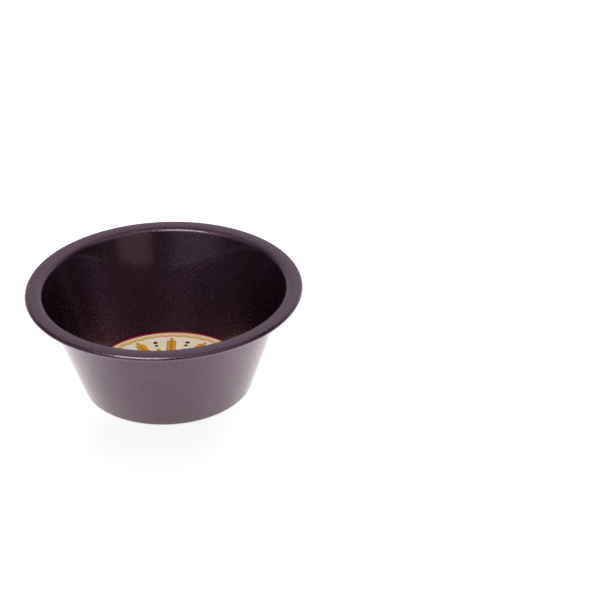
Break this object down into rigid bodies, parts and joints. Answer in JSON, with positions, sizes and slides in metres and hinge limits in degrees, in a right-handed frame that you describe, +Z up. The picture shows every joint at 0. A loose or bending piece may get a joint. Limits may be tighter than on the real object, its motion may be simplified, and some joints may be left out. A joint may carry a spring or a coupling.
{
  "type": "pie dish",
  "caption": "Deep round pie dish of coated pressed steel with a sloping wall, a broad rim rolled round a wire, and a loose round card label in the bottom.",
  "frame": {"origin": "middle of the base, on the surface that the dish stands on", "axes": "+Z up along the dish's own axis, out of its mouth; X and Y are alike, and the wire's butt gap faces +X"},
  "size_m": [0.15, 0.15, 0.0604],
  "materials": {
    "nonstick_coated_steel": "satin dark brown-grey non-stick coating with a fine metallic fleck",
    "bare_steel_wire": "drawn steel wire, bare",
    "printed_card": "stiff card, printed and varnished on its top side, plain grey-white board below"
  },
  "bodies": {
    "dish": {"dish_shell": "nonstick_coated_steel", "rim_wire": "bare_steel_wire"},
    "label": {"label_card": "printed_card"}
  },
  "joints": [
    {"name": "label_lift", "type": "slide", "parent": "dish", "child": "label", "axis": [0, 0, 1], "range_m": [0, 0.075]}
  ]
}
